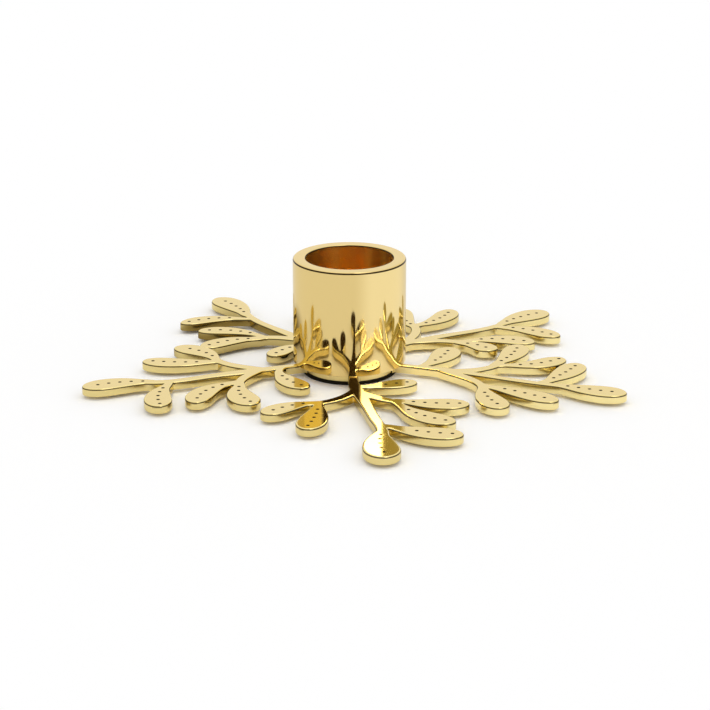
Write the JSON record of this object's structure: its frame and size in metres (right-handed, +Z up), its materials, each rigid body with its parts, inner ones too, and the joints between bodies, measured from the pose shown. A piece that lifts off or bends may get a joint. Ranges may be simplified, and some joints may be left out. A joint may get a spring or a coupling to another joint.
{
  "type": "candle ring",
  "caption": "Low metal candle holder: a round cup for one household candle on a flat ring of branching leaf sprigs, over a thin black pad.",
  "frame": {"origin": "on the table, under the middle of the candle cup", "axes": "+Z up along the cup's axis; -Y towards the viewer of the picture, +X to the viewer's right"},
  "size_m": [0.1342, 0.123, 0.0302],
  "materials": {
    "polished_cup": "polished",
    "gilt_plate": "satin top, polished edges",
    "screw_steel": "plain",
    "black_pad": "matt"
  },
  "bodies": {
    "root": {"candle_cup": "polished_cup", "hub_disc": "gilt_plate", "sprig_front": "gilt_plate", "sprig_right_front": "gilt_plate", "sprig_right_back": "gilt_plate", "sprig_left_back": "gilt_plate", "sprig_left_front": "gilt_plate", "fixing_screw": "screw_steel", "base_pad": "black_pad"}
  },
  "joints": []
}
